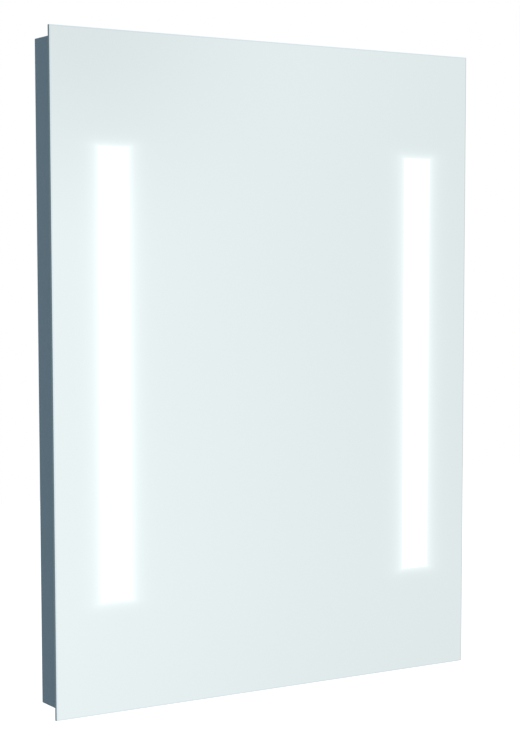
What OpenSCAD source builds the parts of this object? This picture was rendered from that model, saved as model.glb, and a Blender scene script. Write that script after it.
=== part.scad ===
// Slim illuminated mirror cabinet: a full-size mirror door with two lit strips, hinged on the right
// of a shallow metal body that hangs on a wall. Units are millimetres.
// The origin is the middle of the wall face. X points right, Y into the wall and Z up.

/* [Mirror door] */
// Width of the mirror glass
glass_w = 600; // [590:1:700]
// Height of the mirror glass
glass_h = 800; // [790:1:900]
// Thickness of the mirror glass
glass_t = 5; // [4:0.5:6]
// How far the glass reaches past the body at each side
side_overhang = 8; // [8:0.5:12]
// How far the glass reaches past the body at the top and the bottom
end_overhang = 10; // [6:1:14]
// Depth of the door frame behind the glass
frame_d = 8.4; // [8:0.2:12]

/* [Lit strips] */
// Width of each frosted strip
strip_w = 40; // [30:1:44]
// Height of each frosted strip
strip_h = 532; // [480:1:540]
// From the edge of the glass to the strip
strip_inset = 60; // [58:1:64]

/* [Body] */
// Depth of the body from the wall to its front edge
body_d = 40; // [40:1:60]
// Width of the side, top and bottom profiles, seen from the front
profile_w = 20; // [18:1:24]
// Wall of the body profiles
body_wall = 1.8; // [1.2:0.2:2]
// Thickness of the steel sheet
sheet_t = 1; // [0.8:0.1:1.2]
// Height of the gear compartment, from its floor to the top of the body
gear_h = 60; // [58:1:80]

/* [Shelves] */
// Depth of a shelf
shelf_d = 30; // [24:1:31]
// Thickness of a shelf
shelf_t = 5; // [4:0.5:6]
// Height of the lip along the front of a shelf
lip_h = 7; // [4:1:12]

/* [Hinge] */
// Radius of the hinge barrel
barrel_r = 2.2; // [2:0.1:2.3]
// Radius of the hinge pin
pin_r = 1; // [0.8:0.1:1.1]
// Length of one knuckle with its gap
knuckle_l = 20; // [18:1:20]
// Number of knuckles, an odd number
knuckle_count = 37; // [31:2:37]

/* [Lamps] */
// Length of a lamp from cap to cap
lamp_l = 549; // [520:1:560]
// Diameter of a lamp
lamp_d = 16; // [15:0.5:16]

/* [Switch] */
// Angle between the two positions of the rocker
rocker_throw = 22; // [16:1:24]

/* [Hidden] */
$fn = 64;

// Clearance round a piece in its hole or notch, and how far a cut runs past the face that it opens
fit = 0.2;
past = 1;

half_w = glass_w / 2;
half_h = glass_h / 2;
body_x = half_w - side_overhang;
body_z = half_h - end_overhang;

// Depths, counted from the wall, which is y = 0
door_gap = 2.4;
film_t = 0.2;
front_y = -body_d;
door_back = front_y - door_gap;
frame_front = door_back - frame_d;
glass_back = frame_front - film_t;
glass_front = glass_back - glass_t;
fascia_front = front_y + body_wall;
fascia_back = fascia_front + sheet_t;
panel_front = -sheet_t;

// Frames: the wall of the door profiles, and the gap left in a mitred corner
frame_wall = 1.6;
mitre_gap = 0.1;

// Edges that stand clear of the rear flanges of the body profiles
flange_front = panel_front - body_wall - fit;
flange_in = profile_w + fit;

// Screws
screw_r = 1.5;
screw_inset = profile_w / 2 + 1;
recess_w = 0.6;
side_screw_zs = [-300, -100, 100, 300];
end_screw_xs = [-130, 0, 130];
box_screw_zs = [-340, -100, 100, 300];

// Corner keys of the body, and the headless screws that lock them
key_leg = 34;
key_wall = 3;
key_clear = 0.4;
key_front = fascia_front + key_clear;
key_back = -body_wall - sheet_t - key_clear;
key_x = body_x - body_wall;
key_z = body_z - body_wall;
grub_r = 2;
grub_at = 26;

// Gear compartment, at the top of the body
end_clear = 5.5;
post_rise = 29;
gear_rise = 8;
gear_floor = body_z - gear_h;
gear_top = body_z - end_clear;
gear_mid = gear_floor + post_rise;
post_x = body_x - 47;
grommet_x = body_x - 67;
grommet_hole_r = 8;
grommet_bore_r = 4;
notch_x = body_x - 36;
notch_w = 12;
ballast_w = 280;
ballast_h = 30;
ballast_d = 21;
ballast_z = gear_floor + gear_rise;
ballast_ear = 12;
terminal_x = 175;
terminal_pitch = 10;
terminal_h = 18;
earth_x = -195;

// Light boxes, each round the lamp behind its strip
box_reach = 36;
box_tuck = 5;
box_seam = 1;
strip_x = half_w - strip_inset - strip_w / 2;
box_in = strip_x - box_reach;
box_out = body_x - profile_w + box_tuck;
box_top = gear_floor - box_seam;
box_bottom = end_clear - body_z;
box_flange = 12;
slot_w = strip_w + 4;
slot_h = strip_h + 8;
diffuser_t = 2;
diffuser_lap = 4;
reflector_z = 268;
reflector_wall = 0.8;

// Lamps, with the pins at their ends, and the holders that take the pins
lamp_y = -19.5;
lamp_r = lamp_d / 2;
tube_r = lamp_r - 0.2;
tube_wall = 0.7;
cap_l = 8;
cap_z = lamp_l / 2;
lamp_pin_r = 1;
lamp_pin_l = 7;
lamp_pin_x = 2.375;
holder_z = cap_z + 0.5;
holder_t = 12;
holder_r = 10;
holder_foot = 16;
holder_foot_t = 3;
holder_screw_x = 12.8;
holder_screw_z = holder_z + holder_t / 2;
rotor_r = 7;
rotor_t = 8;
clip_z = 150;

// Shelves, each in a node of its own, and the pegs that carry them
shelf_count = 3;
storage_floor = body_wall - body_z;
bay_h = (gear_floor - storage_floor - shelf_count * shelf_t) / (shelf_count + 1);
function shelf_z(i) = storage_floor + i * bay_h + (i - 1) * shelf_t;
shelf_back = -4;
shelf_front = shelf_back - shelf_d;
peg_r = 2.4;
peg_hole_r = 2.5;
peg_ys = [-9, -29];
peg_pitch = 32;
peg_steps = 2;

// Hinge: the barrel stands outside the right-hand side, behind the edge of the glass
axis_x = body_x + 2.6;
axis_y = front_y - door_gap / 2;
pin_gap = 0.05;
leaf_t = 1;
leaf_in = body_x - profile_w;
leaf_notch = axis_x - barrel_r - 0.4;
leaf_root = axis_x - 1.6;
hinge_l = knuckle_l * knuckle_count;
knuckle_gap = 0.3;
leaf_screw_x = body_x - screw_inset;
leaf_screw_pitch = (hinge_l - 80) / 6;
body_screw_zs = [for (i = [-3:3]) i * leaf_screw_pitch];
door_screw_zs = [for (i = [-2.5:2.5]) i * leaf_screw_pitch];
tooth_reach = 4.7;
tooth_t = 1.2;
tooth_l = 8;
tooth_angle = 4;

// Catches, on the left, and the plates that they hold
catch_x = screw_inset - body_x;
catch_z = 300;
catch_l = 40;
catch_w = 7;
catch_d = 8;

// Wall screws
wall_x = 150;
wall_z = 300;
wall_r = 2.75;

// Inner mirror
inner_x = strip_x - 34;
inner_z = body_z - 30;
inner_t = 3;
inner_back = door_back - 2;

// Switch under the right-hand light box
switch_x = 230;
switch_y = -20;
pivot_z = 1.5 - body_z;
rocker_r = 7.8;
rocker_half = 4.95;
rocker_top = 3;
cavity_x = 8.2;
cavity_y = 5.2;
neck_x = 9.4;
neck_y = 6.4;
neck_top = 24 - body_z;
bezel_x = 10.5;
bezel_y = 7.5;
bezel_t = 1.2;

// Leads from the ballast to both ends of each lamp, down the outer side of the light boxes
lead_r = 1;
run_x = notch_x + notch_w / 2;
holder_side = strip_x + holder_r;
over_posts = gear_floor + 47;
lead_z = ballast_z + ballast_h - 8;
lamp_lead_start = [
    [ballast_w / 2, -12, lead_z], [ballast_w / 2 + 14, -12, lead_z], [terminal_x, -9, over_posts],
    [post_x - 10, -8, over_posts], [run_x, -7, gear_floor + 34], [run_x, -7, gear_floor - 20]
];
upper_lead_end = [
    [run_x - 4, -7, holder_z + 14], [holder_side + 14, -10, holder_z + 7], [holder_side, -10, holder_z + 7]
];
lower_lead_end = [
    [run_x + 3, -7, 0], [run_x, -7, -250], [run_x - 4, -7, -holder_z - 14],
    [holder_side + 14, -10, -holder_z - 7], [holder_side, -10, -holder_z - 7]
];

// Lead from the terminal block to the switch, behind the others
switch_route = [
    [terminal_x + terminal_pitch, -6, gear_floor + 8], [terminal_x + 14, -7, gear_floor + 3.5],
    [terminal_x + 40, -9, gear_floor + 3.5], [run_x - 10, -11, gear_floor + 6],
    [run_x - 3, -11, gear_floor], [run_x - 3, -11, gear_floor - 30], [run_x - 3, -11, neck_top + 66],
    [run_x - 6, -12, neck_top + 21], [switch_x + 12, -15, neck_top + 14],
    [switch_x + 4, switch_y, neck_top + 13], [switch_x, switch_y, neck_top + 8]
];

slate = "#5d6e79";
white_steel = "#eceeee";
steel = "#b9bdc0";
dark_steel = "#55595c";
pin_steel = "#a9adb0";
opal = "#f7faf9";
lamp_white = "#fbfdfc";
white_plastic = "#f2f3f1";
black_plastic = "#24272a";
rocker_grey = "#34383b";
rubber = "#2b2d2f";
brass = "#c9b26b";
ballast_grey = "#e4e6e4";
white_sheath = "#e9e9e4";
brown_sheath = "#7d4a2c";
blue_sheath = "#3b6ea5";
clear_acrylic = "#dfeaea";
mirror_silver = "#dfe9ec";
film_grey = "#e9ecec";
film_white = "#fafcfc";
tape_grey = "#6c7072";

// ---- Shapes used in several places ----

// Box between two opposite corners
module block(low, high) {
    translate(low) cube(high - low);
}

// The child and its mirror image across the middle
module both_sides() {
    children();
    mirror([1, 0, 0]) children();
}

// The child and its mirror image below
module both_ends() {
    children();
    mirror([0, 0, 1]) children();
}

// Outline in X and Z, drawn out along Y from y0 to y1
module along_y(y0, y1) {
    translate([0, y1, 0]) rotate([90, 0, 0]) linear_extrude(y1 - y0) children();
}

// Outline in Y and Z, drawn out along X from x0 to x1
module along_x(x0, x1) {
    translate([x0, 0, 0]) rotate([90, 0, 90]) linear_extrude(x1 - x0) children();
}

// Outline in X and Y, drawn out along Z from z0 to z1
module along_z(z0, z1) {
    translate([0, 0, z0]) linear_extrude(z1 - z0) children();
}

// Round rod along Y
module rod_y(x, z, y0, y1, r) {
    translate([x, y1, z]) rotate([90, 0, 0]) cylinder(h = y1 - y0, r = r);
}

// Countersunk screw along Y: its flat head is at head_y and it points towards dir
module sunk_screw(x, z, head_y, dir, len, head = 2.7, sunk = 1) {
    translate([x, head_y, z]) rotate([-90 * dir, 0, 0]) {
        difference() {
            cylinder(h = sunk, r1 = head, r2 = screw_r);
            cross_recess(head * 0.45, recess_w);
        }
        translate([0, 0, sunk]) cylinder(h = len - sunk, r = screw_r - 0.05);
    }
}

// The hole for such a screw
module sunk_hole(x, z, head_y, dir, len, head = 2.7, sunk = 1) {
    translate([x, head_y, z]) rotate([-90 * dir, 0, 0]) {
        cylinder(h = sunk, r1 = head + fit / 2, r2 = screw_r + fit / 2);
        cylinder(h = len, r = screw_r);
    }
}

// Low round-headed screw along +Y, with the underside of its head at seat_y
module pan_screw(x, z, seat_y, len, head = 2.8, head_t = 1.2) {
    translate([x, seat_y, z]) rotate([90, 0, 0]) {
        difference() {
            cylinder(h = head_t, r = head);
            translate([0, 0, head_t - recess_w]) cross_recess(head * 0.55, past);
        }
        translate([0, 0, -len]) cylinder(h = len, r = screw_r - 0.05);
    }
}

// Cross recess, cut upwards from z = 0
module cross_recess(reach, depth) {
    for (a = [0, 90]) {
        rotate([0, 0, a]) translate([-reach, -recess_w / 2, 0]) cube([2 * reach, recess_w, depth]);
    }
}

// Channel section: x runs inwards from the outer face, y from y0 at the front to y1 at the back
module channel(y0, y1, wall, width, rear_lip = 0) {
    translate([0, y0]) square([wall, y1 - y0 + rear_lip]);
    translate([0, y0]) square([width, wall]);
    translate([0, y1 - wall]) square([width, wall]);
}

// Left-hand rail of a mitred frame that reaches to x_out and z_out
module rail_side(x_out, z_out, width, y0, y1) {
    reach = width + past;
    intersection() {
        along_z(-z_out, z_out) translate([-x_out, 0]) children();
        along_y(y0 - past, y1 + past) polygon([
            [-x_out - past, mitre_gap - z_out - past], [reach - x_out, reach + mitre_gap - z_out],
            [reach - x_out, z_out - reach - mitre_gap], [-x_out - past, z_out + past - mitre_gap]
        ]);
    }
}

// Top rail of a mitred frame that reaches to x_out and z_out
module rail_top(x_out, z_out, width, y0, y1) {
    reach = width + past;
    intersection() {
        along_x(-x_out, x_out) translate([0, z_out]) rotate(-90) children();
        along_y(y0 - past, y1 + past) polygon([
            [mitre_gap - x_out - past, z_out + past], [reach + mitre_gap - x_out, z_out - reach],
            [x_out - reach - mitre_gap, z_out - reach], [x_out + past - mitre_gap, z_out + past]
        ]);
    }
}

// Corner key with its outer corner at (0, 0), its legs along +X and +Z, and a gusset between them
module corner_key(leg, wall, y0, y1) {
    gusset = 3 * wall;
    along_y(y0, y1) polygon([
        [0, 0], [leg, 0], [leg, wall], [gusset, wall], [wall, gusset], [wall, leg], [0, leg]
    ]);
}

function unit(v) = v / norm(v);

// Route with its corners cut, so that a lead bends gently
function eased(p) = [
    p[0],
    for (i = [0:len(p) - 2]) each [p[i] * 0.75 + p[i + 1] * 0.25, p[i] * 0.25 + p[i + 1] * 0.75],
    p[len(p) - 1]
];

// Tube of radius r along a route, cut off square at both ends
module lead(route, r) {
    sides = 8;
    p = eased(route);
    last = len(p) - 1;
    points = [
        for (i = [0:last])
            let (
                t = unit(p[min(i + 1, last)] - p[max(i - 1, 0)]),
                n = unit(cross(t, [0, 1, 0])),
                b = cross(t, n)
            )
            for (k = [0:sides - 1])
                p[i] + r * (n * cos(k * 360 / sides) + b * sin(k * 360 / sides))
    ];
    walls = [
        for (i = [0:last - 1])
            for (k = [0:sides - 1])
                let (
                    a = i * sides + k,
                    b = i * sides + (k + 1) % sides
                )
                each [[a, a + sides, b], [b, a + sides, b + sides]]
    ];
    caps = [
        [for (k = [0:sides - 1]) k],
        [for (k = [0:sides - 1]) last * sides + sides - 1 - k]
    ];
    polyhedron(points = points, faces = concat(walls, caps));
}

// ---- Body ----

module body_section() {
    channel(front_y, panel_front, body_wall, profile_w, sheet_t);
}

module side_panel_left() {
    color(slate) difference() {
        rail_side(body_x, body_z, profile_w, front_y, 0) body_section();
        both_ends() {
            block([catch_x - catch_w / 2 - fit, front_y - past, catch_z - catch_l / 2 - fit],
                  [catch_x + catch_w / 2 + fit, fascia_front + past, catch_z + catch_l / 2 + fit]);
        }
        panel_fixings_side();
    }
}

module side_panel_right() {
    color(slate) difference() {
        mirror([1, 0, 0]) rail_side(body_x, body_z, profile_w, front_y, 0) body_section();
        for (z = body_screw_zs) {
            rod_y(leaf_screw_x, z, front_y - past, fascia_front + past, screw_r);
        }
        mirror([1, 0, 0]) panel_fixings_side();
    }
}

module top_panel() {
    color(slate) difference() {
        rail_top(body_x, body_z, profile_w, front_y, 0) body_section();
        panel_fixings_end();
    }
}

module bottom_panel() {
    color(slate) difference() {
        mirror([0, 0, 1]) rail_top(body_x, body_z, profile_w, front_y, 0) body_section();
        mirror([0, 0, 1]) panel_fixings_end();
        block([switch_x - neck_x - fit, switch_y - neck_y - fit, -body_z - past],
              [switch_x + neck_x + fit, switch_y + neck_y + fit, storage_floor + past]);
    }
}

// Holes for the back panel's screws along the left side, and along the top
module panel_fixings_side() {
    for (z = side_screw_zs) {
        sunk_hole(screw_inset - body_x, z, 0, -1, 4);
    }
}

module panel_fixings_end() {
    for (x = end_screw_xs) {
        sunk_hole(x, body_z - screw_inset, 0, -1, 4);
    }
}

module back_panel() {
    color(white_steel) difference() {
        block([body_wall + fit - body_x, panel_front, body_wall + fit - body_z],
              [body_x - body_wall - fit, 0, body_z - body_wall - fit]);
        both_sides() {
            both_ends() rod_y(wall_x, wall_z, panel_front - past, past, wall_r);
            panel_fixings_side();
            for (z = box_screw_zs) {
                rod_y(box_in - box_flange / 2, z, panel_front - past, past, screw_r);
            }
        }
        both_ends() panel_fixings_end();
        rod_y(grommet_x, gear_mid, panel_front - past, past, grommet_hole_r);
    }
}

module back_panel_screws() {
    color(steel) {
        both_sides() {
            for (z = side_screw_zs) {
                sunk_screw(screw_inset - body_x, z, 0, -1, 5);
            }
        }
        both_ends() {
            for (x = end_screw_xs) {
                sunk_screw(x, body_z - screw_inset, 0, -1, 5);
            }
        }
    }
}

module body_corner_keys() {
    color(steel) both_sides() both_ends() difference() {
        translate([-key_x, 0, -key_z]) corner_key(key_leg, key_wall, key_front, key_back);
        translate([grub_at - key_x, lamp_y, -key_z - past]) grub_hole();
        translate([-key_x - past, lamp_y, grub_at - key_z]) rotate([0, 90, 0]) grub_hole();
    }
}

module grub_hole() {
    cylinder(h = key_wall + 2 * past, r = grub_r + pin_gap);
}

// Headless screw with a hexagon socket, standing on z = 0
module grub_screw() {
    len = 4;
    socket_d = 2;
    socket_r = 1.1;
    difference() {
        cylinder(h = len, r = grub_r);
        translate([0, 0, len - socket_d]) cylinder(h = socket_d + past, r = socket_r, $fn = 6);
    }
}

module corner_screws() {
    color(dark_steel) both_sides() both_ends() {
        translate([grub_at - key_x, lamp_y, -key_z]) grub_screw();
        translate([-key_x, lamp_y, grub_at - key_z]) rotate([0, 90, 0]) grub_screw();
    }
}

// ---- Light boxes, at the left and the right of the storage space ----

// The right-hand light box: its front, its inner wall and the flange that is screwed to the back
module light_box() {
    difference() {
        along_z(box_bottom, box_top) union() {
            translate([box_in, fascia_front]) square([box_out - box_in, sheet_t]);
            translate([box_in, fascia_front]) square([sheet_t, panel_front - fascia_front]);
            translate([box_in - box_flange, panel_front - sheet_t]) square([box_flange + sheet_t, sheet_t]);
        }
        block([strip_x - slot_w / 2, fascia_front - past, -slot_h / 2],
              [strip_x + slot_w / 2, fascia_back + past, slot_h / 2]);
        block([box_in - box_flange - past, flange_front, box_bottom - past],
              [box_in + sheet_t + past, 0, flange_in - body_z]);
        for (i = [1:shelf_count]) {
            for (step = [-peg_steps:peg_steps]) {
                for (y = peg_ys) {
                    translate([box_in - past, y, shelf_z(i) - peg_r + step * peg_pitch])
                        rotate([0, 90, 0]) cylinder(h = sheet_t + 2 * past, r = peg_hole_r);
                }
            }
        }
        for (z = box_screw_zs) {
            rod_y(box_in - box_flange / 2, z, panel_front - sheet_t - past, 0, screw_r);
        }
    }
}

module light_box_left() {
    color(white_steel) mirror([1, 0, 0]) light_box();
}

module light_box_right() {
    color(white_steel) light_box();
}

module light_box_screws() {
    color(steel) both_sides() {
        for (z = box_screw_zs) {
            pan_screw(box_in - box_flange / 2, z, panel_front - sheet_t, 1.8);
        }
    }
}

module diffuser() {
    block([strip_x - slot_w / 2 - diffuser_lap, fascia_back, -slot_h / 2 - 2 * diffuser_lap],
          [strip_x + slot_w / 2 + diffuser_lap, fascia_back + diffuser_t, slot_h / 2 + 2 * diffuser_lap]);
}

module diffuser_left() {
    color(opal) mirror([1, 0, 0]) diffuser();
}

module diffuser_right() {
    color(opal) diffuser();
}

// White trough behind a lamp, standing on the back panel
module reflector() {
    base = 16;
    mouth = strip_w / 2 + 8;
    wall = reflector_wall;
    mouth_y = fascia_back + diffuser_t + 1.2;
    along_z(-reflector_z, reflector_z) translate([strip_x, 0]) polygon([
        [-mouth, mouth_y], [-base, panel_front], [base, panel_front], [mouth, mouth_y],
        [mouth - wall, mouth_y], [base - wall, panel_front - wall],
        [wall - base, panel_front - wall], [wall - mouth, mouth_y]
    ]);
}

module reflector_left() {
    color("white") mirror([1, 0, 0]) reflector();
}

module reflector_right() {
    color("white") reflector();
}

// ---- Lamps ----

module lamp_tube() {
    translate([strip_x, lamp_y, cap_l - cap_z]) difference() {
        cylinder(h = 2 * (cap_z - cap_l), r = tube_r);
        translate([0, 0, -past]) cylinder(h = 2 * cap_z, r = tube_r - tube_wall);
    }
}

module lamp_tube_left() {
    color(lamp_white) mirror([1, 0, 0]) lamp_tube();
}

module lamp_tube_right() {
    color(lamp_white) lamp_tube();
}

module lamp_caps() {
    color(steel) both_sides() both_ends() translate([strip_x, lamp_y, cap_z - cap_l]) {
        cylinder(h = cap_l, r = lamp_r);
        for (side = [-1, 1]) {
            translate([side * lamp_pin_x, 0, 0]) cylinder(h = cap_l + lamp_pin_l, r = lamp_pin_r);
        }
    }
}

module lamp_holders() {
    slot_half = 1.4;
    color(white_plastic) both_sides() both_ends() difference() {
        along_z(holder_z, holder_z + holder_t) union() {
            translate([strip_x, lamp_y]) circle(holder_r);
            translate([strip_x - holder_r, lamp_y]) square([2 * holder_r, panel_front - lamp_y]);
            translate([strip_x - holder_foot, panel_front - holder_foot_t])
                square([2 * holder_foot, holder_foot_t]);
        }
        translate([strip_x, lamp_y, holder_z - past])
            cylinder(h = rotor_t + past + fit, r = rotor_r + fit);
        block([strip_x - slot_half, lamp_y - holder_r - past, holder_z - past],
              [strip_x + slot_half, lamp_y, holder_z + rotor_t]);
        for (side = [-1, 1]) {
            rod_y(strip_x + side * holder_screw_x, holder_screw_z,
                  panel_front - holder_foot_t - past, 0, screw_r);
        }
    }
}

module holder_rotors() {
    slot_half = 1.3;
    color(white_plastic) both_sides() both_ends() translate([strip_x, lamp_y, holder_z]) difference() {
        cylinder(h = rotor_t, r = rotor_r);
        translate([-rotor_r - past, -slot_half, -past])
            cube([2 * (rotor_r + past), 2 * slot_half, past + lamp_pin_l + 0.3]);
    }
}

module holder_screws() {
    color(steel) both_sides() both_ends() {
        for (side = [-1, 1]) {
            pan_screw(strip_x + side * holder_screw_x, holder_screw_z, panel_front - holder_foot_t, 3, 2.2);
        }
    }
}

// Two spring clips round each lamp, each on a stem from the reflector
module lamp_clips() {
    grip_t = 0.6;
    grip_l = 8;
    open_angle = 100;
    stem_half = 3;
    color(steel) both_sides() both_ends() translate([strip_x, 0, clip_z - grip_l / 2]) {
        translate([0, lamp_y, 0]) rotate([0, 0, open_angle / 2 - 90])
            rotate_extrude(angle = 360 - open_angle) translate([lamp_r, 0]) square([grip_t, grip_l]);
        block([-stem_half, lamp_y + lamp_r + grip_t / 2, 0],
              [stem_half, panel_front - reflector_wall, grip_l]);
    }
}

// ---- Gear compartment ----

module gear_cover() {
    notch_d = 13;
    lip = 8;
    color(white_steel) difference() {
        along_x(-box_out, box_out) union() {
            translate([fascia_front, gear_floor]) square([sheet_t, gear_top - gear_floor]);
            translate([fascia_front, gear_floor]) square([panel_front - fascia_front, sheet_t]);
            translate([panel_front - sheet_t, gear_floor]) square([sheet_t, lip]);
        }
        both_sides() {
            block([notch_x, -notch_d, gear_floor - past], [notch_x + notch_w, 0, gear_floor + lip + past]);
            block([body_x - flange_in, flange_front, gear_floor - past],
                  [box_out + past, 0, gear_floor + lip + past]);
            rod_y(post_x, gear_mid, fascia_front - past, fascia_back + past, screw_r + fit);
        }
    }
}

module cover_posts() {
    post_r = 4;
    bore_d = 12;
    color(steel) both_sides() difference() {
        rod_y(post_x, gear_mid, fascia_back, panel_front, post_r);
        rod_y(post_x, gear_mid, fascia_back - past, fascia_back + bore_d, screw_r);
    }
}

module cover_screws() {
    color(steel) both_sides() pan_screw(post_x, gear_mid, fascia_front, 10, 3, 1.4);
}

module ballast() {
    ear_t = 1.5;
    ear_in = 4;
    edge = 3;
    back = panel_front;
    low = ballast_z;
    high = ballast_z + ballast_h;
    ear_x = ballast_w / 2 + ballast_ear;
    color(ballast_grey) difference() {
        union() {
            along_x(-ballast_w / 2, ballast_w / 2) polygon([
                [back, low], [back, high], [back - ballast_d + edge, high], [back - ballast_d, high - edge],
                [back - ballast_d, low + edge], [back - ballast_d + edge, low]
            ]);
            block([-ear_x, back - ear_t, low + ear_in], [ear_x, back, high - ear_in]);
        }
        both_sides() rod_y(ear_x - ballast_ear / 2, low + ballast_h / 2, back - ear_t - past, 0, screw_r);
    }
}

module ballast_screws() {
    color(steel) both_sides() {
        pan_screw((ballast_w + ballast_ear) / 2, ballast_z + ballast_h / 2, panel_front - 1.5, 1.5);
    }
}

module terminal_block() {
    ways = 3;
    base_d = 9;
    collar_d = 14;
    collar_r = 3.6;
    screw_hole_r = 2.2;
    wire_hole_r = 1.8;
    low = gear_floor + gear_rise;
    half = ways * terminal_pitch / 2;
    color(white_plastic) difference() {
        union() {
            block([terminal_x - half, panel_front - base_d, low],
                  [terminal_x + half, panel_front, low + terminal_h]);
            for (i = [-1:1]) {
                rod_y(terminal_x + i * terminal_pitch, low + terminal_h / 2,
                      panel_front - collar_d, panel_front - base_d + past, collar_r);
            }
        }
        for (i = [-1:1]) {
            rod_y(terminal_x + i * terminal_pitch, low + terminal_h / 2,
                  panel_front - collar_d - past, panel_front - base_d - past, screw_hole_r);
            translate([terminal_x + i * terminal_pitch, panel_front - base_d / 2, low - past])
                cylinder(h = terminal_h + 2 * past, r = wire_hole_r);
        }
    }
}

// Lower half against the back panel, and the bridge over it, with the cable's groove between them
module cord_clamp() {
    half_l = 11;
    half_h = 4;
    split = panel_front - 6;
    bridge_gap = 1;
    bridge_t = 5;
    groove_r = 4;
    z = gear_floor + 13;
    color(white_plastic) difference() {
        union() {
            block([grommet_x - half_l, split, z - half_h], [grommet_x + half_l, panel_front, z + half_h]);
            block([grommet_x - half_l, split - bridge_gap - bridge_t, z - half_h],
                  [grommet_x + half_l, split - bridge_gap, z + half_h]);
        }
        translate([grommet_x, split - bridge_gap / 2, z - half_h - past])
            cylinder(h = 2 * (half_h + past), r = groove_r);
    }
}

module cable_grommet() {
    lip_w = 2;
    lip_t = 1.5;
    color(rubber) difference() {
        union() {
            rod_y(grommet_x, gear_mid, panel_front, 0, grommet_hole_r - pin_gap);
            rod_y(grommet_x, gear_mid, panel_front - lip_t, panel_front, grommet_hole_r + lip_w);
        }
        rod_y(grommet_x, gear_mid, panel_front - lip_t - past, past, grommet_bore_r);
    }
}

module earth_stud() {
    stud_r = 2;
    stud_l = 12;
    nut_r = 4;
    nut_t = 3.2;
    nut_at = 1;
    color(brass) {
        rod_y(earth_x, gear_mid, panel_front - stud_l, panel_front, stud_r);
        difference() {
            translate([earth_x, panel_front - nut_at, gear_mid]) rotate([90, 0, 0])
                cylinder(h = nut_t, r = nut_r, $fn = 6);
            rod_y(earth_x, gear_mid, panel_front - nut_at - nut_t - past, panel_front, stud_r - fit / 2);
        }
    }
}

module lamp_leads() {
    apart = [0, 2.6, 0];
    color(white_sheath) both_sides() {
        lead(concat(lamp_lead_start, upper_lead_end), lead_r);
        lead([for (p = concat(lamp_lead_start, lower_lead_end)) p + apart], lead_r);
    }
}

module switch_lead() {
    color(brown_sheath) lead(switch_route, lead_r);
}

// Two leads from the terminal block to the ballast, the second one higher and further out
module gear_leads() {
    top = gear_floor + gear_rise + terminal_h;
    color(blue_sheath) {
        for (i = [0:1]) {
            x = terminal_x + (i - 1) * terminal_pitch;
            rise = 3 + 3 * i;
            out = 5 * i;
            lead([
                [x, -5.5, top], [x, -5.5, top + rise], [terminal_x - 14, -9 - out, top + rise],
                [ballast_w / 2 + 14, -12 - out, lead_z - 6], [ballast_w / 2, -12 - out, lead_z - 6]
            ], lead_r);
        }
    }
}

// ---- Switch ----

// Bezel and neck, with a cavity for the rocker and two blades at the back. The cavity's roof hangs
// lowest over the pivot, and the rocker's flat back stops against one half of it at each position
module switch_housing() {
    pivot_r = 1.25;
    mouth = -body_z - bezel_t - past;
    stop_gap = 0.1;
    roof = pivot_z + (rocker_top + stop_gap) / cos(rocker_throw / 2);
    roof_end = roof + cavity_x * tan(rocker_throw / 2);
    blade_x = 5;
    blade_t = 0.8;
    blade_w = 4.8;
    blade_l = 7;
    color(black_plastic) difference() {
        union() {
            block([switch_x - bezel_x, switch_y - bezel_y, -body_z - bezel_t],
                  [switch_x + bezel_x, switch_y + bezel_y, -body_z]);
            block([switch_x - neck_x, switch_y - neck_y, -body_z - bezel_t / 2],
                  [switch_x + neck_x, switch_y + neck_y, neck_top]);
            for (side = [-1, 1]) {
                block([switch_x + side * blade_x - blade_t / 2, switch_y - blade_w / 2, neck_top - past],
                      [switch_x + side * blade_x + blade_t / 2, switch_y + blade_w / 2, neck_top + blade_l]);
            }
        }
        translate([switch_x, 0, 0]) along_y(switch_y - cavity_y, switch_y + cavity_y) polygon([
            [-cavity_x, mouth], [cavity_x, mouth], [cavity_x, roof_end], [0, roof], [-cavity_x, roof_end]
        ]);
        rod_y(switch_x, pivot_z, switch_y - bezel_y - past, switch_y + bezel_y + past, pivot_r);
    }
}

// At rest the rocker is pressed down on one side; its faces meet in a shallow ridge over the pivot
module switch_rocker() {
    ridge = 1.4;
    tip = 3.4;
    reach = 9;
    pivot_r = 1.2;
    color(rocker_grey) translate([switch_x, 0, pivot_z]) rotate([0, -rocker_throw / 2, 0]) {
        along_y(switch_y - rocker_half, switch_y + rocker_half) intersection() {
            circle(rocker_r);
            polygon([
                [-reach, rocker_top], [reach, rocker_top], [reach, -tip], [0, -ridge], [-reach, -tip]
            ]);
        }
        rod_y(0, 0, switch_y - neck_y + fit, switch_y + neck_y - fit, pivot_r);
    }
}

// ---- Storage ----

// Flat shelf with an upstand along its front, the i-th from below
module shelf(i) {
    side_gap = 1.5;
    reach = box_in - side_gap;
    z = shelf_z(i);
    lip_t = 2.5;
    color(clear_acrylic) along_x(-reach, reach) union() {
        translate([shelf_front, z]) square([shelf_d, shelf_t]);
        translate([shelf_front, z]) square([lip_t, shelf_t + lip_h]);
    }
}

module shelf_lower() {
    shelf(1);
}

module shelf_middle() {
    shelf(2);
}

module shelf_upper() {
    shelf(3);
}

module shelf_pegs() {
    reach_in = 8;
    reach_out = 3;
    collar_t = 1.1;
    collar_w = 1.6;
    color(steel) both_sides() {
        for (i = [1:shelf_count]) {
            for (y = peg_ys) {
                translate([box_in, y, shelf_z(i) - peg_r]) rotate([0, 90, 0]) {
                    translate([0, 0, -reach_in]) cylinder(h = reach_in + reach_out, r = peg_r);
                    translate([0, 0, -collar_t]) cylinder(h = collar_t, r = peg_r + collar_w);
                }
            }
        }
    }
}

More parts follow.
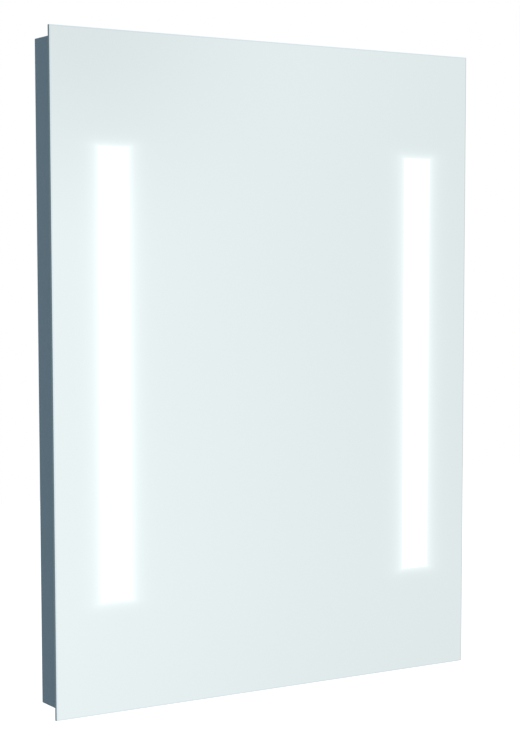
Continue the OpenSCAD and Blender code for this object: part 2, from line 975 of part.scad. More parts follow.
module catch_magnets() {
    lip = 1.3;
    lap = 1.2;
    lap_z = 2;
    color(black_plastic) both_ends() {
        block([catch_x - catch_w / 2, front_y, catch_z - catch_l / 2],
              [catch_x + catch_w / 2, front_y + catch_d, catch_z + catch_l / 2]);
        block([catch_x - catch_w / 2 - lap, front_y - lip, catch_z - catch_l / 2 - lap_z],
              [catch_x + catch_w / 2 + lap, front_y, catch_z + catch_l / 2 + lap_z]);
    }
}

// Seal along the outer edge of the body's front, at the left, the top and the bottom
module front_gasket() {
    edge = 0.5;
    seal_t = door_gap - edge;
    seal_w = 4;
    seal_x = body_x - edge;
    seal_z = body_z - edge;
    color(slate) {
        block([-seal_x, front_y - seal_t, -seal_z], [seal_w - seal_x, front_y, seal_z]);
        both_ends() {
            block([-seal_x, front_y - seal_t, seal_z - seal_w], [seal_x, front_y, seal_z]);
        }
    }
}

// ---- Hinge ----

// Leaf whose plate lies from y0 to y1, with every second knuckle from the first one given
module hinge_leaf(y0, y1, first) {
    difference() {
        union() {
            block([leaf_in, y0, -hinge_l / 2], [leaf_notch, y1, hinge_l / 2]);
            for (k = [first:2:knuckle_count - 1]) {
                translate([0, 0, k * knuckle_l - hinge_l / 2 + knuckle_gap / 2]) {
                    block([leaf_notch - past, y0, 0], [leaf_root, y1, knuckle_l - knuckle_gap]);
                    translate([axis_x, axis_y, 0]) cylinder(h = knuckle_l - knuckle_gap, r = barrel_r);
                }
            }
            children();
        }
        translate([axis_x, axis_y, -hinge_l]) cylinder(h = 2 * hinge_l, r = pin_r + pin_gap);
    }
}

module hinge_leaf_body() {
    color(steel) difference() {
        hinge_leaf(front_y - leaf_t, front_y, 1);
        for (z = body_screw_zs) {
            sunk_hole(leaf_screw_x, z, front_y - leaf_t, 1, 5);
        }
    }
}

// The teeth at both ends of the door leaf meet the body's side and stop the door
module hinge_leaf_door() {
    root = pin_r + 0.5;
    color(steel) difference() {
        hinge_leaf(door_back, door_back + leaf_t, 0) {
            both_ends() translate([axis_x, axis_y, hinge_l / 2 - knuckle_gap / 2 - tooth_l])
                rotate([0, 0, tooth_angle])
                    translate([root, -tooth_t / 2, 0]) cube([tooth_reach - root, tooth_t, tooth_l]);
        }
        for (z = door_screw_zs) {
            sunk_hole(leaf_screw_x, z, door_back + leaf_t, -1, 5);
        }
    }
}

module hinge_pin() {
    color(pin_steel) translate([axis_x, axis_y, -hinge_l / 2]) cylinder(h = hinge_l, r = pin_r);
}

module hinge_screws_body() {
    color(steel) {
        for (z = body_screw_zs) {
            sunk_screw(leaf_screw_x, z, front_y - leaf_t, 1, 6);
        }
    }
}

module hinge_screws_door() {
    color(steel) {
        for (z = door_screw_zs) {
            sunk_screw(leaf_screw_x, z, door_back + leaf_t, -1, 5.5);
        }
    }
}

// ---- Door ----

// Section of the glass, depth against reach, with a narrow bevel round its front
module glass_outline(reach) {
    bevel_w = 1.6;
    bevel_d = 0.8;
    back_ease = 0.4;
    polygon([
        [glass_back, -reach + back_ease], [glass_back - back_ease, -reach],
        [glass_front + bevel_d, -reach], [glass_front, -reach + bevel_w],
        [glass_front, reach - bevel_w], [glass_front + bevel_d, reach],
        [glass_back - back_ease, reach], [glass_back, reach - back_ease]
    ]);
}

module mirror_glass() {
    color(mirror_silver) intersection() {
        along_x(-half_w - past, half_w + past) glass_outline(half_h);
        along_z(-half_h - past, half_h + past) mirror([1, -1, 0]) glass_outline(half_w);
    }
}

// Both strips, grown all round by extra, from y0 to y1
module strips(extra, y0, y1) {
    both_sides() {
        block([strip_x - strip_w / 2 - extra, y0, -strip_h / 2 - extra],
              [strip_x + strip_w / 2 + extra, y1, strip_h / 2 + extra]);
    }
}

module safety_film() {
    margin = 1;
    window_gap = 0.5;
    color(film_grey) difference() {
        block([margin - half_w, glass_back, margin - half_h],
              [half_w - margin, frame_front, half_h - margin]);
        strips(window_gap, glass_back - past, frame_front + past);
    }
}

module window_films() {
    color(film_white) strips(0, glass_back, frame_front);
}

module door_section() {
    channel(frame_front, door_back, frame_wall, profile_w);
}

module door_frame_left() {
    color(slate) rail_side(body_x, body_z, profile_w, frame_front, door_back) door_section();
}

module door_frame_right() {
    color(slate) difference() {
        mirror([1, 0, 0]) rail_side(body_x, body_z, profile_w, frame_front, door_back) door_section();
        for (z = door_screw_zs) {
            rod_y(leaf_screw_x, z, door_back - frame_wall - past, door_back + past, screw_r);
        }
    }
}

module door_frame_top() {
    color(slate) rail_top(body_x, body_z, profile_w, frame_front, door_back) door_section();
}

module door_frame_bottom() {
    color(slate) mirror([0, 0, 1])
        rail_top(body_x, body_z, profile_w, frame_front, door_back) door_section();
}

module door_corner_keys() {
    leg = 36;
    leg_w = 12;
    color(steel) both_sides() both_ends()
        translate([frame_wall + fit - body_x, 0, frame_wall + fit - body_z])
            along_y(frame_front + frame_wall + fit, door_back - frame_wall - fit)
                polygon([[0, 0], [leg, 0], [leg, leg_w], [leg_w, leg_w], [leg_w, leg], [0, leg]]);
}

module inner_mirror() {
    color(mirror_silver) block([-inner_x, inner_back - inner_t, -inner_z], [inner_x, inner_back, inner_z]);
}

// Five strips of tape between the glass's film and the inner mirror
module mirror_tape() {
    tape_w = 12;
    tape_half = inner_z - 20;
    pitch = 0.44 * inner_x;
    color(tape_grey) {
        for (i = [-2:2]) {
            block([i * pitch - tape_w / 2, frame_front, -tape_half],
                  [i * pitch + tape_w / 2, inner_back - inner_t, tape_half]);
        }
    }
}

module strike_plates() {
    plate_t = 0.7;
    rim = 1;
    color(steel) both_ends() {
        block([catch_x - catch_w / 2 - rim, door_back, catch_z - catch_l / 2 - rim],
              [catch_x + catch_w / 2 + rim, door_back + plate_t, catch_z + catch_l / 2 + rim]);
    }
}

side_panel_left();
side_panel_right();
top_panel();
bottom_panel();
back_panel();
body_corner_keys();
corner_screws();
back_panel_screws();
light_box_left();
light_box_right();
light_box_screws();
diffuser_left();
diffuser_right();
reflector_left();
reflector_right();
lamp_tube_left();
lamp_tube_right();
lamp_caps();
lamp_holders();
holder_rotors();
holder_screws();
lamp_clips();
gear_cover();
cover_posts();
cover_screws();
ballast();
ballast_screws();
terminal_block();
cord_clamp();
cable_grommet();
earth_stud();
lamp_leads();
switch_lead();
gear_leads();
switch_housing();
switch_rocker();
shelf_lower();
shelf_middle();
shelf_upper();
shelf_pegs();
catch_magnets();
front_gasket();
hinge_leaf_body();
hinge_leaf_door();
hinge_pin();
hinge_screws_body();
hinge_screws_door();
mirror_glass();
safety_film();
window_films();
door_frame_left();
door_frame_right();
door_frame_top();
door_frame_bottom();
door_corner_keys();
inner_mirror();
mirror_tape();
strike_plates();
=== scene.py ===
"""The looks of the slim illuminated mirror cabinet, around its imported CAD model.

The CAD nodes keep their shapes. This script eases their edges, gives each one a procedural material,
lights the two lamps behind the frosted strips, and sets up a pale studio with a soft white floor.
"""
import math

import bpy
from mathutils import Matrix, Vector


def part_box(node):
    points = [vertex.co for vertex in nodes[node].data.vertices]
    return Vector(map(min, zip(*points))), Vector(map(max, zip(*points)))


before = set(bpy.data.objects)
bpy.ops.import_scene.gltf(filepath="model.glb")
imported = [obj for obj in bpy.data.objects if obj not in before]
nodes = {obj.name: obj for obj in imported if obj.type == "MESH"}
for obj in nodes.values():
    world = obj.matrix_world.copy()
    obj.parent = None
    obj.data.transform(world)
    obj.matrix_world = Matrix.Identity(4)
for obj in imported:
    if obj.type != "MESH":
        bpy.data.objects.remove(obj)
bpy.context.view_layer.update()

MM = 0.001
# LAMP_COLOUR is the tubes' light and also the painted glow of the diffusers; STRIP_COLOUR is the painted
# glow of the door's frosted strips
LAMP_COLOUR = (0.95, 1.0, 0.99)
STRIP_COLOUR = (0.95, 1.0, 1.0)

# ---- Places worked out from the frame ----

GLASS_LOW, GLASS_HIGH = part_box("mirror_glass")
FILM_LOW, FILM_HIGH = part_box("window_films")
LAMP_LOW, LAMP_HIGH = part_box("lamp_tube_right")
LAMP_X = (LAMP_LOW.x + LAMP_HIGH.x) / 2
STRIP_HALF_W = FILM_HIGH.x - LAMP_X
STRIP_HALF_H = (FILM_HIGH.z - FILM_LOW.z) / 2
GLASS_H = GLASS_HIGH.z - GLASS_LOW.z


# ---- Node helpers ----

class Tree:
    """A material or world node tree, with short calls for the nodes used here."""

    def __init__(self, tree):
        self.nodes, self.links = tree.nodes, tree.links
        self.nodes.clear()

    def add(self, kind, **settings):
        node = self.nodes.new(kind)
        for name, value in settings.items():
            setattr(node, name, value)
        return node

    def feed(self, socket, value):
        """Links a socket, or sets its value."""
        if isinstance(value, bpy.types.NodeSocket):
            self.links.new(value, socket)
        elif isinstance(value, (tuple, list)) and len(value) == 3 and len(socket.default_value) == 4:
            socket.default_value = (*value, 1.0)
        else:
            socket.default_value = value

    def math(self, operation, a, b=0.0, c=0.0, clamp=False):
        node = self.add("ShaderNodeMath", operation=operation, use_clamp=clamp)
        for socket, value in zip(node.inputs, (a, b, c)):
            self.feed(socket, value)
        return node.outputs[0]

    def ramp(self, value, low, high, to_low=0.0, to_high=1.0, smooth=True):
        """value's run from low to high becomes to_low to to_high."""
        node = self.add("ShaderNodeMapRange", interpolation_type="SMOOTHSTEP" if smooth else "LINEAR")
        for socket, number in zip(node.inputs, (value, low, high, to_low, to_high)):
            self.feed(socket, number)
        return node.outputs[0]

    def mix(self, factor, a, b):
        """Colour a, turning into colour b."""
        node = self.add("ShaderNodeMix", data_type="RGBA")
        self.feed(node.inputs[0], factor)
        self.feed(node.inputs[6], a)
        self.feed(node.inputs[7], b)
        return node.outputs[2]

    def place(self, scale=(1, 1, 1)):
        """Coordinates in the object's own frame, in metres, times a scale."""
        source = self.add("ShaderNodeTexCoord").outputs["Object"]
        node = self.add("ShaderNodeVectorMath", operation="MULTIPLY")
        self.feed(node.inputs[0], source)
        node.inputs[1].default_value = scale
        return node.outputs[0]

    def noise(self, size, detail=2.0, stretch=(1, 1, 1), roughness=0.5):
        """Noise from 0 to 1, with blobs of about size metres."""
        node = self.add("ShaderNodeTexNoise")
        self.feed(node.inputs["Vector"], self.place(stretch))
        node.inputs["Scale"].default_value = 1 / size
        node.inputs["Detail"].default_value = detail
        node.inputs["Roughness"].default_value = roughness
        return node.outputs["Fac"]

    def bump(self, height, distance, strength=1.0):
        node = self.add("ShaderNodeBump")
        node.inputs["Distance"].default_value = distance
        node.inputs["Strength"].default_value = strength
        self.feed(node.inputs["Height"], height)
        return node.outputs["Normal"]

    def surface(self, **inputs):
        """A Principled shader with these inputs, named as its sockets are, with _ for a space."""
        shader = self.add("ShaderNodeBsdfPrincipled")
        for name, value in inputs.items():
            self.feed(shader.inputs[name.replace("_", " ")], value)
        out = self.add("ShaderNodeOutputMaterial")
        self.links.new(shader.outputs[0], out.inputs["Surface"])
        return shader


def material(name):
    mat = bpy.data.materials.new(name)
    mat.use_nodes = True
    return mat, Tree(mat.node_tree)


def tone(colour, factor):
    return tuple(min(1.0, c * factor) for c in colour)


# ---- Materials ----

def painted(name, colour, roughness, peel=0.0016, drift=0.05, gloss=0.5, depth=0.00004):
    """Powder coat: an orange-peel skin, with a slight drift in colour and gloss."""
    mat, t = material(name)
    drifted = t.mix(t.noise(0.09, 3), tone(colour, 1 - drift), tone(colour, 1 + drift))
    speckle = t.noise(0.0007, 1)
    shade = t.mix(t.ramp(speckle, 0.62, 0.75), drifted, tone(colour, 1 + 3 * drift))
    skin = t.noise(peel, 2)
    t.surface(
        Base_Color=shade,
        Roughness=t.ramp(skin, 0.3, 0.7, roughness - 0.05, roughness + 0.06),
        Specular_IOR_Level=gloss,
        Normal=t.bump(skin, depth, 0.5),
    )
    return mat


def brushed(name, colour, roughness, grain=(1, 1, 0.02), line=0.0004):
    """Metal with fine lines; the grain is short across them and long along them."""
    mat, t = material(name)
    lines = t.noise(line, 2, grain)
    cloud = t.noise(0.03, 2)
    t.surface(
        Base_Color=t.mix(cloud, tone(colour, 0.9), tone(colour, 1.08)),
        Metallic=1.0,
        Roughness=t.ramp(lines, 0.25, 0.75, roughness - 0.08, roughness + 0.12),
        Normal=t.bump(lines, 0.00002, 0.4),
    )
    return mat


def plated(name, colour, roughness):
    """Zinc plate: bright metal with a faint mottling."""
    mat, t = material(name)
    mottle = t.noise(0.002, 4)
    t.surface(
        Base_Color=t.mix(mottle, tone(colour, 0.82), tone(colour, 1.1)),
        Metallic=1.0,
        Roughness=t.ramp(mottle, 0.3, 0.7, roughness - 0.06, roughness + 0.08),
        Normal=t.bump(mottle, 0.00003, 0.4),
    )
    return mat


def moulded(name, colour, roughness, texture=0.0005, depth=0.00003):
    """Moulded plastic or rubber with a fine spark-eroded grain."""
    mat, t = material(name)
    grain = t.noise(texture, 3)
    cloud = t.noise(0.02, 2)
    t.surface(
        Base_Color=t.mix(cloud, tone(colour, 0.93), tone(colour, 1.06)),
        Roughness=t.ramp(grain, 0.3, 0.7, roughness - 0.06, roughness + 0.06),
        Normal=t.bump(grain, depth, 0.5),
    )
    return mat


def foam(name, colour, cell=0.0009):
    """Closed-cell foam: small open pits all over."""
    mat, t = material(name)
    cells = t.add("ShaderNodeTexVoronoi", feature="F1")
    t.feed(cells.inputs["Vector"], t.place())
    cells.inputs["Scale"].default_value = 1 / cell
    pits = cells.outputs["Distance"]
    t.surface(
        Base_Color=t.mix(t.ramp(pits, 0.1, 0.5), tone(colour, 0.7), tone(colour, 1.08)),
        Roughness=0.85,
        Normal=t.bump(pits, 0.0001, 0.6),
    )
    return mat


def acrylic(name, tint):
    """Clear sheet: hardly tinted through its face, and greener through its length."""
    mat, t = material(name)
    wear = t.noise(0.004, 3)
    t.surface(
        Base_Color=tint,
        Roughness=t.ramp(wear, 0.45, 0.75, 0.02, 0.06),
        IOR=1.49,
        Transmission_Weight=1.0,
    )
    return mat


def glow_profile(t, peak, edge):
    """Strength of a painted glow on a sheet before the lamp, standing in for its light: most along the lamp,
    less to its sides and ends.
    """
    spread = STRIP_HALF_W * 1.2
    fade_start = STRIP_HALF_H * 0.9
    fade_end = STRIP_HALF_H * 1.06
    end_share = 0.55
    at = t.add("ShaderNodeSeparateXYZ")
    t.feed(at.inputs[0], t.place())
    aside = t.math("ABSOLUTE", t.math("SUBTRACT", t.math("ABSOLUTE", at.outputs["X"]), LAMP_X))
    along = t.math("ABSOLUTE", at.outputs["Z"])
    across = t.ramp(aside, 0.0, spread, peak, edge)
    ends = t.ramp(along, fade_start, fade_end, 1.0, end_share)
    return t.math("MULTIPLY", across, ends)


def lit_opal(name):
    """Opal acrylic with a painted glow that stands in for the lamp's light from behind."""
    mat, t = material(name)
    t.surface(
        Base_Color=t.mix(t.noise(0.002, 2), (0.80, 0.82, 0.82), (0.84, 0.86, 0.86)),
        Roughness=0.35,
        Emission_Color=LAMP_COLOUR,
        Emission_Strength=glow_profile(t, 2.4, 1.1),
    )
    return mat


def lit_tube(name):
    """Fluorescent tube: brightest along its middle, with greyer ends."""
    glass = (0.85, 0.87, 0.87)
    blackened = (0.35, 0.34, 0.33)
    middle_light = 6.0
    end_light = 0.8
    mat, t = material(name)
    at = t.add("ShaderNodeSeparateXYZ")
    t.feed(at.inputs[0], t.place())
    along = t.math("ABSOLUTE", at.outputs["Z"])
    half = LAMP_HIGH.z
    t.surface(
        Base_Color=t.mix(t.ramp(along, half * 0.93, half), glass, blackened),
        Roughness=0.15,
        Emission_Color=LAMP_COLOUR,
        Emission_Strength=t.ramp(along, half * 0.90, half, middle_light, end_light),
    )
    return mat


def strip_distance(t, x, z):
    """Distance from a point of the door to the edge of the nearer strip, negative inside it.

    It is counted short to the sides, where the long lamp sends more light than past its ends."""
    side_share = 0.55
    aside = t.math("ABSOLUTE", t.math("SUBTRACT", t.math("ABSOLUTE", x), LAMP_X))
    dx = t.math("MULTIPLY", t.math("SUBTRACT", aside, STRIP_HALF_W), side_share)
    dz = t.math("SUBTRACT", t.math("ABSOLUTE", z), STRIP_HALF_H)
    out_x, out_z = t.math("MAXIMUM", dx, 0.0), t.math("MAXIMUM", dz, 0.0)
    outside = t.math("SQRT", t.math("ADD", t.math("POWER", out_x, 2.0), t.math("POWER", out_z, 2.0)))
    return t.math("ADD", outside, t.math("MINIMUM", t.math("MAXIMUM", dx, dz), 0.0))


def before_lamps(t):
    """1 where the door stands in front of the light boxes, and 0 once it has swung away from them: the share
    of the strips' painted glow that shows.
    """
    dark_from = GLASS_LOW.y - 0.02
    lit_from = GLASS_LOW.y - 0.004
    where = t.add("ShaderNodeSeparateXYZ")
    t.feed(where.inputs[0], t.add("ShaderNodeNewGeometry").outputs["Position"])
    return t.ramp(where.outputs["Y"], dark_from, lit_from)


def mirror_door(name):
    """Silvered glass with two sandblasted strips, bare polished edges and a painted rim behind.

    The strips carry a painted glow while the door is shut, standing in for the lamps' light through them,
    and a painted halo of it reaches a few millimetres into the glass."""
    mat, t = material(name)
    silver = (0.775, 0.833, 0.843)
    frost = (0.80, 0.86, 0.87)
    edge_colour = (0.018, 0.076, 0.100)
    arris_colour = (0.70, 0.79, 0.83)
    back_colour = (0.30, 0.32, 0.33)
    # How much of the surface's normal points sideways on the bevel and on the edge, and backwards behind
    rim_turn = 0.3
    edge_turn = 0.9
    back_turn = 0.5
    # Strengths of the strips' painted glow and of its painted halo, and how far the halo reaches in metres
    strip_light = 1.2
    halo_light = 0.20
    halo_reach = 0.0048
    polish = 0.015
    rim_haze = 0.12
    at = t.add("ShaderNodeSeparateXYZ")
    t.feed(at.inputs[0], t.place())
    facing = t.add("ShaderNodeSeparateXYZ")
    t.feed(facing.inputs[0], t.add("ShaderNodeTexCoord").outputs["Normal"])
    turned_x = t.math("ABSOLUTE", facing.outputs["X"])
    turned_z = t.math("ABSOLUTE", facing.outputs["Z"])
    sideways = t.math("MAXIMUM", turned_x, turned_z)
    rim = t.math("GREATER_THAN", sideways, rim_turn)
    flat_edge = t.math("GREATER_THAN", sideways, edge_turn)
    behind = t.math("GREATER_THAN", facing.outputs["Y"], back_turn)
    distance = strip_distance(t, at.outputs["X"], at.outputs["Z"])
    grain = t.noise(0.0006, 2)
    strip = t.ramp(distance, 0.0002, -0.0014)
    bare = t.math("MAXIMUM", t.math("MAXIMUM", flat_edge, behind), strip)
    clouds = t.noise(0.35, 2)
    face = t.mix(clouds, tone(silver, 0.993), tone(silver, 1.006))
    colour = t.mix(strip, face, frost)
    colour = t.mix(rim, colour, t.mix(flat_edge, arris_colour, edge_colour))
    colour = t.mix(behind, colour, back_colour)
    # Painted halo: the strips' painted glow fading into the silvered glass around them
    halo = t.math("EXPONENT", t.math("DIVIDE", t.math("MAXIMUM", distance, 0.0), -halo_reach))
    front = t.math("SUBTRACT", 1.0, t.math("MAXIMUM", rim, behind), clamp=True)
    # Painted glow of the strips and its painted halo, on the front face only, and only while the door stands
    # before the lamps
    light = t.math("ADD", t.math("MULTIPLY", strip, strip_light), t.math("MULTIPLY", halo, halo_light))
    light = t.math("MULTIPLY", t.math("MULTIPLY", light, front), before_lamps(t))
    rough = t.math("ADD", t.math("MULTIPLY", strip, t.ramp(grain, 0.2, 0.8, 0.35, 0.55)), polish)
    rough = t.math("ADD", rough, t.math("MULTIPLY", t.math("MAXIMUM", rim, behind), rim_haze))
    t.surface(
        Base_Color=colour,
        Metallic=t.math("SUBTRACT", 1.0, bare, clamp=True),
        Roughness=rough,
        Emission_Color=STRIP_COLOUR,
        Emission_Strength=light,
    )
    return mat


def inner_silver(name):
    """The plain mirror on the inside of the door, with ground edges."""
    ground_edge = (0.22, 0.33, 0.33)
    mat, t = material(name)
    facing = t.add("ShaderNodeSeparateXYZ")
    t.feed(facing.inputs[0], t.add("ShaderNodeTexCoord").outputs["Normal"])
    silvered = t.ramp(t.math("ABSOLUTE", facing.outputs["Y"]), 0.6, 0.9)
    cloud = t.noise(0.2, 2)
    silver = t.mix(cloud, (0.77, 0.84, 0.85), (0.79, 0.86, 0.87))
    t.surface(
        Base_Color=t.mix(silvered, ground_edge, silver),
        Metallic=silvered,
        Roughness=t.ramp(cloud, 0.2, 0.8, 0.01, 0.03),
    )
    return mat


def threads(t, direction):
    """Parallel threads of a woven scrim, side by side along X or Z."""
    fineness = 90
    weave = t.add("ShaderNodeTexWave", wave_type="BANDS", bands_direction=direction)
    t.feed(weave.inputs["Vector"], t.place())
    weave.inputs["Scale"].default_value = fineness
    return weave.outputs["Fac"]


def safety_backing(name):
    """Vinyl safety film on the back of the glass, with its woven reinforcement showing faintly."""
    mat, t = material(name)
    scrim = t.math("MAXIMUM", threads(t, "X"), threads(t, "Z"))
    cloud = t.noise(0.05, 3)
    base = t.mix(cloud, (0.52, 0.55, 0.56), (0.57, 0.60, 0.61))
    t.surface(
        Base_Color=t.mix(t.ramp(scrim, 0.80, 1.0), base, (0.61, 0.64, 0.65)),
        Roughness=0.5,
        Normal=t.bump(scrim, 0.00004, 0.4),
    )
    return mat


def frosted_film(name):
    """White diffusing film over the back of the strips."""
    mat, t = material(name)
    grain = t.noise(0.0006, 2)
    t.surface(
        Base_Color=t.mix(grain, (0.78, 0.81, 0.82), (0.86, 0.89, 0.90)),
        Roughness=0.6,
        Normal=t.bump(grain, 0.00003, 0.5),
    )
    return mat


SLATE = (0.080, 0.127, 0.162)
MATERIALS = {
    "slate": painted("slate_powder_coat", SLATE, 0.5, gloss=0.05),
    "white": painted("white_powder_coat", (0.74, 0.76, 0.765), 0.38, peel=0.0013, drift=0.02),
    "trough": painted("reflector_white", (0.88, 0.89, 0.89), 0.25, drift=0.01),
    "zinc": plated("zinc_plate", (0.62, 0.64, 0.66), 0.3),
    "black_steel": plated("blackened_steel", (0.10, 0.105, 0.11), 0.4),
    "spring": brushed("spring_steel", (0.58, 0.59, 0.60), 0.28, (1, 1, 1)),
    "hinge": brushed("hinge_stainless", (0.56, 0.57, 0.58), 0.3),
    "opal": lit_opal("opal_acrylic_lit"),
    "tube": lit_tube("lamp_tube_lit"),
    "cap": brushed("lamp_cap_aluminium", (0.72, 0.73, 0.74), 0.3),
    "white_plastic": moulded("white_plastic", (0.78, 0.79, 0.77), 0.35),
    "black_plastic": moulded("black_plastic", (0.022, 0.024, 0.027), 0.42),
    "rocker": moulded("rocker_plastic", (0.035, 0.038, 0.042), 0.3),
    "black_rubber": moulded("black_rubber", (0.02, 0.02, 0.021), 0.7),
    "gasket": foam("gasket_foam", (0.085, 0.125, 0.155)),
    "tape": foam("foam_tape", (0.12, 0.125, 0.13)),
    "ballast": painted("ballast_lacquer", (0.66, 0.67, 0.65), 0.35),
    "brass": plated("brass_turned", (0.78, 0.58, 0.28), 0.28),
    "white_lead": moulded("white_lead", (0.72, 0.72, 0.68), 0.4),
    "brown_lead": moulded("brown_lead", (0.16, 0.07, 0.03), 0.4),
    "blue_lead": moulded("blue_lead", (0.04, 0.12, 0.36), 0.4),
    "acrylic": acrylic("clear_acrylic", (0.90, 0.975, 0.965)),
    "mirror": mirror_door("mirror_door_glass"),
    "inner_mirror": inner_silver("inner_mirror_silver"),
    "backing": safety_backing("safety_film_grey"),
    "film": frosted_film("frosted_film_white"),
}

# Which finish each node takes, with the width its edges are eased by in millimetres, or 0
FINISHES = {
    "slate": {
        "side_panel_left": 0.4, "side_panel_right": 0.4, "top_panel": 0.4, "bottom_panel": 0.4,
        "door_frame_left": 0.3, "door_frame_right": 0.3, "door_frame_top": 0.3, "door_frame_bottom": 0.3,
    },
    "white": {"back_panel": 0, "light_box_left": 0, "light_box_right": 0, "gear_cover": 0},
    "trough": {"reflector_left": 0, "reflector_right": 0},
    "zinc": {
        "body_corner_keys": 0.3, "back_panel_screws": 0, "light_box_screws": 0, "holder_screws": 0,
        "cover_posts": 0, "cover_screws": 0, "ballast_screws": 0, "shelf_pegs": 0.2,
        "door_corner_keys": 0, "strike_plates": 0.2,
    },
    "black_steel": {"corner_screws": 0},
    "spring": {"lamp_clips": 0},
    "hinge": {
        "hinge_leaf_body": 0, "hinge_leaf_door": 0, "hinge_pin": 0,
        "hinge_screws_body": 0, "hinge_screws_door": 0,
    },
    "opal": {"diffuser_left": 0.3, "diffuser_right": 0.3},
    "tube": {"lamp_tube_left": 0, "lamp_tube_right": 0},
    "cap": {"lamp_caps": 0},
    "white_plastic": {"lamp_holders": 0.3, "holder_rotors": 0, "terminal_block": 0.3, "cord_clamp": 0.3},
    "black_plastic": {"switch_housing": 0.3, "catch_magnets": 0.3},
    "rocker": {"switch_rocker": 0.3},
    "black_rubber": {"cable_grommet": 0},
    "gasket": {"front_gasket": 0.4},
    "tape": {"mirror_tape": 0},
    "ballast": {"ballast": 0.4},
    "brass": {"earth_stud": 0},
    "white_lead": {"lamp_leads": 0},
    "brown_lead": {"switch_lead": 0},
    "blue_lead": {"gear_leads": 0},
    "acrylic": {"shelf_lower": 0.5, "shelf_middle": 0.5, "shelf_upper": 0.5},
    "mirror": {"mirror_glass": 0},
    "inner_mirror": {"inner_mirror": 0.4},
    "backing": {"safety_film": 0},
    "film": {"window_films": 0},
}


def ease_edges(node, width):
    """Rounds the sharp edges of a CAD node, without touching its own mesh."""
    same_corner = 0.000002
    least_turn = math.radians(40)
    weld = node.modifiers.new("join_corners", "WELD")
    weld.merge_threshold = same_corner
    bevel = node.modifiers.new("eased_edges", "BEVEL")
    bevel.width = width * MM
    bevel.segments = 2
    bevel.limit_method = "ANGLE"
    bevel.angle_limit = least_turn
    bevel.use_clamp_overlap = True
    bevel.harden_normals = False


def finish_nodes():
    for finish, members in FINISHES.items():
        for name, width in members.items():
            node = nodes[name]
            node.data.materials.clear()
            node.data.materials.append(MATERIALS[finish])
            if width:
                ease_edges(node, width)


# ---- Studio ----

def world_light():
    """A white room: pure white where it is seen directly, and a soft cool gradient in what it lights.

    What the mirror shows of it is a little darker to the right, in the upper left corner and at the foot."""
    below_light = 0.58
    above_light = 0.88
    corner_shade = 0.14
    foot_shade = 0.022
    world = bpy.data.worlds.new("studio")
    bpy.context.scene.world = world
    world.use_nodes = True
    t = Tree(world.node_tree)
    path = t.add("ShaderNodeLightPath")
    at = t.add("ShaderNodeSeparateXYZ")
    t.feed(at.inputs[0], t.add("ShaderNodeTexCoord").outputs["Generated"])
    side = at.outputs["X"]
    height = at.outputs["Z"]
    lit = t.ramp(height, -1.0, 1.0, below_light, above_light, smooth=False)
    across = t.ramp(side, 0.43, 0.63, 1.082, 0.968, smooth=False)
    across = t.math("MULTIPLY", across, t.ramp(side, 0.63, 1.0, 1.0, 0.78))
    corner_rise = t.ramp(height, 0.0, 0.14, 0.0, corner_shade)
    corner = t.math("MULTIPLY", corner_rise, t.ramp(side, 0.43, 0.56, 1.0, 0.0))
    foot = t.ramp(height, -0.15, -0.26, 0.0, foot_shade)
    mirrored = t.math("SUBTRACT", t.math("SUBTRACT", across, corner), foot)
    strength = t.add("ShaderNodeMix", data_type="FLOAT")
    t.feed(strength.inputs[0], path.outputs["Is Glossy Ray"])
    t.feed(strength.inputs[2], lit)
    t.feed(strength.inputs[3], mirrored)
    soft = t.add("ShaderNodeBackground")
    soft.inputs["Color"].default_value = (0.985, 1.0, 1.0, 1.0)
    t.feed(soft.inputs["Strength"], strength.outputs[0])
    white = t.add("ShaderNodeBackground")
    white.inputs["Color"].default_value = (1.0, 1.0, 1.0, 1.0)
    both = t.add("ShaderNodeMixShader")
    t.feed(both.inputs[0], path.outputs["Is Camera Ray"])
    t.links.new(soft.outputs[0], both.inputs[1])
    t.links.new(white.outputs[0], both.inputs[2])
    out = t.add("ShaderNodeOutputWorld")
    t.links.new(both.outputs[0], out.inputs["Surface"])


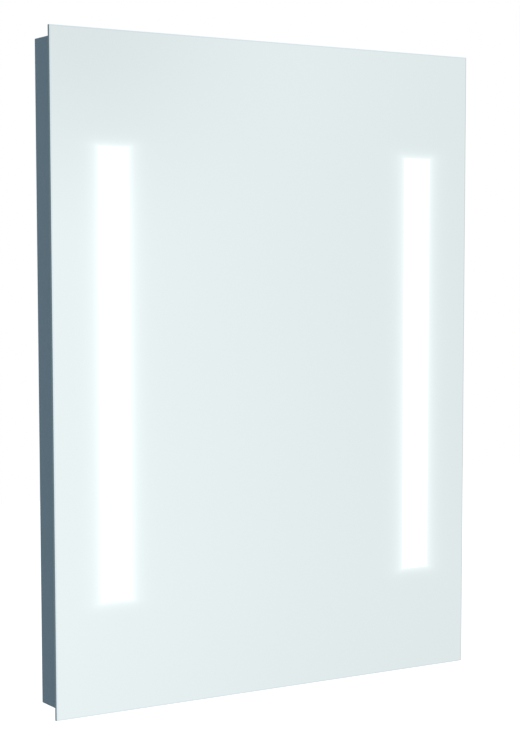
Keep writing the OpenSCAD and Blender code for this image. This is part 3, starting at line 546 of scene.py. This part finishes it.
def pale_floor():
    """A wide white floor, well below the cabinet, which hangs on its wall face."""
    reach = 12 * GLASS_H
    drop = 1.4 * GLASS_H
    own_light = 0.42
    mesh = bpy.data.meshes.new("floor")
    z = GLASS_LOW.z - drop
    corners = [(-reach, -reach, z), (reach, -reach, z), (reach, reach, z), (-reach, reach, z)]
    mesh.from_pydata(corners, [], [(0, 1, 2, 3)])
    floor = bpy.data.objects.new("floor", mesh)
    bpy.context.scene.collection.objects.link(floor)
    mat, t = material("floor_white")
    t.surface(
        Base_Color=t.mix(t.noise(0.4, 2), (0.80, 0.80, 0.80), (0.82, 0.82, 0.82)),
        Roughness=0.9,
        Emission_Color=(1.0, 1.0, 1.0),
        Emission_Strength=own_light,
    )
    mesh.materials.append(mat)
    floor.visible_glossy = False


def area_light(name, place, size, power):
    """A soft square lamp, turned towards the middle of the cabinet, that no mirror shows."""
    data = bpy.data.lights.new(name, "AREA")
    data.shape = "SQUARE"
    data.size = size
    data.energy = power
    lamp = bpy.data.objects.new(name, data)
    lamp.location = place
    lamp.rotation_euler = (-Vector(place)).to_track_quat("-Z", "Y").to_euler()
    lamp.visible_glossy = False
    bpy.context.scene.collection.objects.link(lamp)


def studio_lights():
    area_light("key", place=(-1.9, -2.2, 2.6), size=1.8, power=26)
    area_light("fill", place=(2.6, -1.6, 2.2), size=2.0, power=12)
    area_light("rear", place=(-1.2, 2.6, 2.4), size=1.8, power=16)


def camera():
    """Seen from the left and level with the upper middle, as in the photograph."""
    place = Vector((-1.201, -1.927, 0.1266))
    yaw, pitch = math.radians(33.04), math.radians(-4.92)
    data = bpy.data.cameras.new("camera")
    data.sensor_fit = "AUTO"
    data.sensor_width = 36
    data.lens = 86.56
    data.shift_x = -0.0326
    data.shift_y = 0.0642
    view = bpy.data.objects.new("camera", data)
    view.location = place
    view.rotation_euler = (math.pi / 2 + pitch, 0, -yaw)
    bpy.context.scene.collection.objects.link(view)
    bpy.context.scene.camera = view


def show_true_white():
    """Tones as they are, so that a pure white room is pure white."""
    scene = bpy.context.scene
    scene.view_settings.view_transform = "Standard"
    scene.view_settings.look = "None"


finish_nodes()
world_light()
pale_floor()
studio_lights()
camera()
show_true_white()
